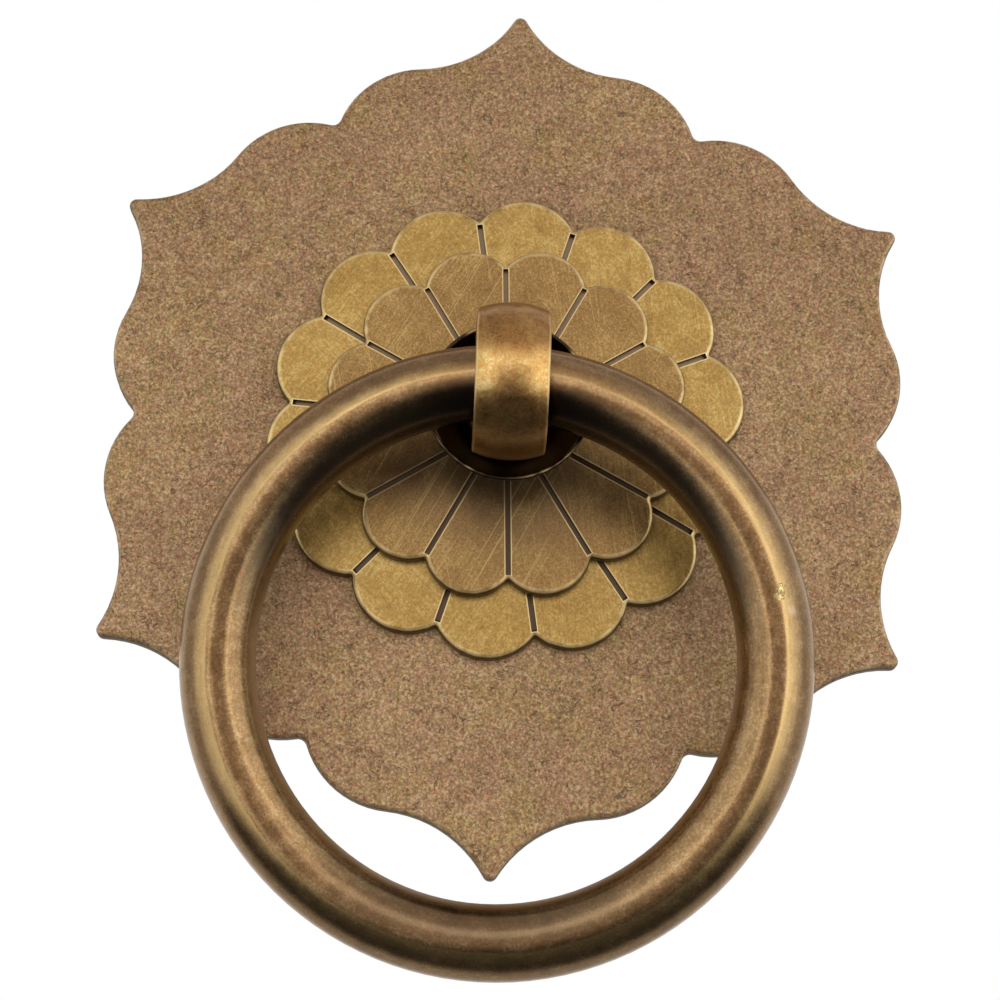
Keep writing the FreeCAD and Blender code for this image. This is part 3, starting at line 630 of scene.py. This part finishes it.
class Round(Paint):
    """A material that knows where each point lies on the ring and round its bar."""

    def __init__(self, name):
        super().__init__(name)
        lean = Matrix.Rotation(math.radians(RING_TILT), 3, "X")
        turn = Matrix.Rotation(math.radians(-RING_TURN), 3, "Z")
        front = lean @ turn @ Vector((0, -1, 0))
        side = lean @ turn @ Vector((1, 0, 0))
        up = lean @ turn @ Vector((0, 0, 1))
        centre = (RING_TOP + lean @ Vector((0, 0, -RING_RADIUS))) * MM
        away = self.add("ShaderNodeVectorMath", {0: self.place, 1: tuple(centre)},
                        operation="SUBTRACT").outputs[0]
        self.height = self.along(away, front)
        self.side = self.along(away, side)
        self.up = self.along(away, up)
        self.from_centre = self.hypotenuse(self.side, self.up)
        self.outward = self.maths("SUBTRACT", self.from_centre, RING_RADIUS)
        # 0 at the bar's front, 90 on the outside of the ring, -90 on the inside
        self.round = self.maths("DEGREES", self.maths("ARCTAN2", self.outward, self.height))

    def along(self, vector, axis):
        """How far a vector goes along an axis, in millimetres."""
        node = self.add("ShaderNodeVectorMath", {0: vector, 1: tuple(axis / MM)},
                        operation="DOT_PRODUCT")
        return node.outputs["Value"]

    def ragged(self, place, grain):
        """The distance from a place in millimetres, made uneven by the grain."""
        away = self.add("ShaderNodeVectorMath",
                        {0: self.place, 1: tuple(value * MM for value in place)},
                        operation="DISTANCE").outputs["Value"]
        return self.total(self.maths("DIVIDE", away, MM), (1.6, grain))

    def streaks(self, width, length, seed):
        """Noise drawn out along the bar."""
        place = self.add("ShaderNodeCombineXYZ", {
            0: self.maths("DIVIDE", self.product(self.side, RING_RADIUS / length), self.from_centre),
            1: self.maths("DIVIDE", self.product(self.up, RING_RADIUS / length), self.from_centre),
            2: self.maths("MULTIPLY_ADD", self.outward, 1 / width, seed)}).outputs[0]
        made = self.add("ShaderNodeTexNoise",
                        {"Vector": place, "W": self.product(self.height, 1 / width),
                         "Scale": 1.0, "Detail": 2.0, "Roughness": 0.6},
                        noise_dimensions="4D")
        return made.outputs["Fac"]


def painted_golden_reflection(paint, colour, patch, cloud, streak):
    """A painted golden reflection, partly rubbed metal, with a firm edge at the crest that fades outwards,
    and painted shade on the browner outside.
    """
    crest = paint.maths("MULTIPLY_ADD", paint.side, CREST_SHIFT / RING_RADIUS, CREST)
    crest = paint.total(crest, (6.0, patch), (5.0, cloud))
    off = paint.maths("SUBTRACT", paint.round, crest)
    outer = paint.product(paint.step(off, -1.0, 22.0), paint.step(off, 60.0, 90.0, 1.0, 0.4))
    colour = paint.mix(paint.product(outer, 0.35), colour, RING_OUTER_SHADE)
    golden = paint.product(paint.step(off, -2.5, 1.0), paint.step(off, 1.0, 24.0, 1.0, 0.0),
                           paint.step(streak, 0.30, 0.62, 0.70, 1.0))
    return paint.mix(paint.product(golden, 0.58), colour, RING_GOLDEN_REFLECTION)


def eye_shade(paint, grain):
    """The painted shade on the undersides beside the eye: 1 on it, 0 elsewhere."""
    down = paint.product(paint.axis(paint.facing, "Z"), -1)
    down = paint.maths("ADD", down, paint.product(grain, 0.2))
    sideways = paint.maths("ABSOLUTE", paint.axis(paint.place, "X"))
    return paint.product(paint.step(sideways, 4.5 * MM, 17 * MM, 1.0, 0.0),
                         paint.step(paint.axis(paint.place, "Z"), -12 * MM, -4 * MM),
                         paint.step(down, 0.10, 0.55))


def ring_paint():
    """Half-gloss bar: brown, finely pitted and streaked along its length.

    It has a painted golden reflection, partly rubbed metal, along the outside of its crest. It is dull
    inside the ring, painted darker at the front of its bottom and beneath its upper half as painted shade,
    darkest beside the eye, and has one small nick.
    """
    paint = Round("ring_brass")
    grain = paint.noise(0.28, 3.0, 0.6)
    streak = paint.streaks(0.30, 2.6, 1.7)
    patch = paint.noise(1.6, 3.0, 0.55)
    cloud = paint.noise(9.0, 3.0, 0.5)
    tone = paint.total(0.5, (0.8, grain), (0.28, streak), (0.62, patch), (0.35, cloud))
    colour = paint.ramp(tone, *RING_TONES)
    colour = paint.two_tints(colour, *RING_TINTS, seed=0.17)
    colour = painted_golden_reflection(paint, colour, patch, cloud, streak)

    # A dull film is left inside the ring. At its bottom the darker paint reaches further round onto the
    # bar's front: painted shade there
    low = paint.step(paint.up, -RING_RADIUS, -RING_RADIUS * 0.6, 1.0, 0.0)
    low = paint.product(low, paint.step(paint.round, -20.0, 14.0, 0.72, 0.0))
    colour = paint.mix(low, colour, RING_LOW_SHADE)
    upper = paint.step(paint.up, 0.0, 13.0)
    inner = paint.product(paint.step(paint.round, -84.0, -50.0, 1.0, 0.0),
                          paint.step(paint.round, -175.0, -150.0),
                          paint.less(paint.product(upper, 0.85)))
    colour = paint.mix(paint.product(inner, 0.75), colour, RING_INNER_FILM)

    # Painted shade beneath the upper half of the bar, darkest beside the eye
    under_shade = paint.product(upper, paint.step(paint.round, -38.0, -6.0, 1.0, 0.0))
    colour = paint.mix(paint.product(under_shade, 0.80), colour, RING_UNDER_SHADE)
    colour = paint.mix(paint.product(eye_shade(paint, grain), 0.92), colour, RING_BESIDE_EYE_SHADE)

    height = paint.total(0.5, (0.3, grain), (0.3, streak), (0.35, patch))
    for place in NICKS:
        dent = paint.less(paint.step(paint.ragged(place, grain), 0.25, 0.55))
        height = paint.maths("MULTIPLY_ADD", dent, -3.0, height)
        colour = paint.mix(paint.product(dent, 0.7), colour, RING_NICK)
    spot = paint.less(paint.step(paint.ragged(WORN_SPOT, grain), 0.2, 0.7))
    colour = paint.mix(paint.product(spot, 0.35), colour, RING_WORN_SPOT)
    roughness = paint.total(0.25, (0.14, patch), (0.10, grain))
    roughness = paint.maths("MULTIPLY_ADD", inner, 0.30, roughness)
    return paint.finish(1.0, Base_Color=colour, Roughness=roughness,
                        Metallic=paint.step(inner, 0.0, 1.0, 1.0, 0.6),
                        Normal=paint.bump(height, 0.013))


# Back washer and nut

FASTENER_TONES = ((0.2, (0.36, 0.24, 0.10)), (0.8, (0.64, 0.47, 0.21)))
# The width of one turning mark, in millimetres
TURNING_MARK = 0.12


def fastener_paint(name, seed):
    """Plain turned brass, a little dull, with marks that run round the axis."""
    paint = Paint(name)
    grain = paint.noise(0.4, 3.0, 0.6, paint.turned(0, shift=(seed, 0, 0)))
    patch = paint.noise(2.5, 3.0, 0.5, paint.turned(0, shift=(0, 0, seed)))
    rings = paint.add("ShaderNodeTexNoise",
                      {"W": paint.maths("DIVIDE", paint.reach(), TURNING_MARK),
                       "Scale": 1.0, "Detail": 2.0},
                      noise_dimensions="1D").outputs["Fac"]
    tone = paint.total(0.5, (0.3, grain), (0.5, patch), (0.3, rings))
    colour = paint.ramp(tone, *FASTENER_TONES)
    height = paint.total(0.5, (0.5, rings), (0.4, grain))
    return paint.finish(1.0, Base_Color=colour, Roughness=paint.total(0.36, (0.2, patch)),
                        Normal=paint.bump(height, 0.012))


def dress(node, material):
    mesh = NODES[node].data
    mesh.materials.clear()
    mesh.materials.append(material)


# The shank's screw thread: M6, pitch 1 mm. Sizes in millimetres.

PITCH = 1.0
THREAD_RADIUS = 3.0
THREAD_DEPTH = 0.54
THREAD_START = 4.0
THREAD_CHAMFER = 0.6
# The thread grows to its full depth over this many pitches
RUN_OUT = 1.5
# Where the profile bends within one pitch, and whether that place lies on the root or the crest
THREAD_PROFILE = ((0.0, 0.0), (0.25, 0.0), (0.5625, 1.0), (0.6875, 1.0))
CUT_LEVEL = 1.0
# Corners closer than this are one corner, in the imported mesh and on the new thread
SAME_CORNER = 0.0005
SAME_THREAD_CORNER = 0.002
ON_CUT = 0.001
SHORTEST_EDGE = 0.001
SHARP_ANGLE = 24


def thread_reach(level, crest, end):
    """The thread's radius at a level along the shank. It runs out at the start and is chamfered."""
    reach = THREAD_RADIUS - THREAD_DEPTH * (1 - crest)
    run_out = THREAD_RADIUS - THREAD_DEPTH * max(0.0, level - THREAD_START) / (RUN_OUT * PITCH)
    point = THREAD_RADIUS - THREAD_CHAMFER + (end - level)
    return min(max(reach, run_out), point)


def angle_of(corner):
    """The angle at which a corner lies round the shank."""
    return math.atan2(corner.co.z, corner.co.x)


def cut_shank(shape):
    """Cuts off the shank behind the plate, and gives back the corners of the cut in their order."""
    level = CUT_LEVEL * MM
    bmesh.ops.remove_doubles(shape, verts=shape.verts, dist=SAME_CORNER * MM)
    bmesh.ops.bisect_plane(shape, geom=shape.verts[:] + shape.edges[:] + shape.faces[:],
                           plane_co=(0, level, 0), plane_no=(0, 1, 0), clear_outer=True)
    cut = [corner for corner in shape.verts if abs(corner.co.y - level) < ON_CUT * MM]
    cut.sort(key=angle_of)
    return cut


def thread_columns(shape, cut, end):
    """A column of corners along the shank for each corner of the cut, with one row for each bend.

    Rows beyond either end of the shank fold onto that end.
    """
    pitches = math.ceil((end - CUT_LEVEL) / PITCH) + 1
    bends = len(THREAD_PROFILE)
    columns = []
    for first in cut:
        angle = angle_of(first)
        column = [first]
        for row in range(-bends, pitches * bends):
            share, crest = THREAD_PROFILE[row % bends]
            level = CUT_LEVEL + (row // bends + share + angle / (2 * math.pi)) * PITCH
            level = min(level, end)
            if level <= CUT_LEVEL:
                column.append(first)
                continue
            reach = thread_reach(level, crest, end) * MM
            place = (math.cos(angle) * reach, level * MM, math.sin(angle) * reach)
            column.append(shape.verts.new(place))
        columns.append(column)
    return columns


def join_columns(shape, columns):
    """Makes the faces between each column and the next one round the shank."""
    last_row = len(columns[0]) - 1
    for index, column in enumerate(columns):
        following = columns[(index + 1) % len(columns)]
        # Round the seam the helix has climbed by one pitch
        climb = len(THREAD_PROFILE) if index == len(columns) - 1 else 0
        for row in range(last_row):
            other = min(row + climb, last_row)
            above = min(row + 1 + climb, last_row)
            corners = [column[row], following[other], following[above], column[row + 1]]
            corners = [corner for n, corner in enumerate(corners) if corner not in corners[:n]]
            if len(corners) > 2:
                shape.faces.new(corners)


def threaded_eye(material):
    """The eye with its shank cut off behind the plate and made again with a screw thread."""
    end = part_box("ring_eye")[1].y / MM
    shape = bmesh.new()
    shape.from_mesh(NODES["ring_eye"].data)
    cut = cut_shank(shape)
    join_columns(shape, thread_columns(shape, cut, end))
    bmesh.ops.remove_doubles(shape, verts=shape.verts, dist=SAME_THREAD_CORNER * MM)
    bmesh.ops.dissolve_degenerate(shape, edges=shape.edges, dist=SHORTEST_EDGE * MM)
    rim = [edge for edge in shape.edges if edge.is_boundary]
    bmesh.ops.contextual_create(shape, geom=rim)
    bmesh.ops.recalc_face_normals(shape, faces=shape.faces)
    mesh = bpy.data.meshes.new("threaded_ring_eye")
    shape.to_mesh(mesh)
    shape.free()
    mesh.shade_smooth()
    mesh.set_sharp_from_angle(angle=math.radians(SHARP_ANGLE))
    mesh.materials.append(material)
    piece = bpy.data.objects.new("threaded_ring_eye", mesh)
    bpy.context.scene.collection.objects.link(piece)
    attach(piece, STACK)
    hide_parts("ring_eye")


# The whole scene

make_camera()
make_lamps()
make_world()
make_floor()

OUTER = Flower("outer_rosette", lobes=14, turn=3.6, tip=26.5, notch=24.0,
               groove_width=0.62, groove_end=23.65)
INNER = Flower("inner_rosette", lobes=12, turn=12.6, tip=20.2, notch=17.9,
               groove_width=0.58, groove_end=17.6)

dress("backplate", plate_paint())
dress("outer_rosette", flower_paint(
    "outer_rosette_brass", OUTER, dark=(0.25, 0.152, 0.046), middle=(0.43, 0.282, 0.086),
    light=(0.70, 0.52, 0.20), rim=(0.95, 0.78, 0.40), groove_end_shade=(0.06, 0.042, 0.03), seed=0.11))
dress("inner_rosette", flower_paint(
    "inner_rosette_brass", INNER, dark=(0.18, 0.102, 0.038), middle=(0.33, 0.205, 0.074),
    light=(0.60, 0.42, 0.165), rim=(0.90, 0.70, 0.35), groove_end_shade=(0.26, 0.18, 0.11), seed=0.23))
dress("cup_washer", cup_paint())
dress("pull_ring", ring_paint())
dress("back_washer", fastener_paint("washer_brass", seed=0.05))
dress("hex_nut", fastener_paint("nut_brass", seed=0.09))
threaded_eye(eye_paint())

bpy.context.scene.view_settings.view_transform = "Standard"
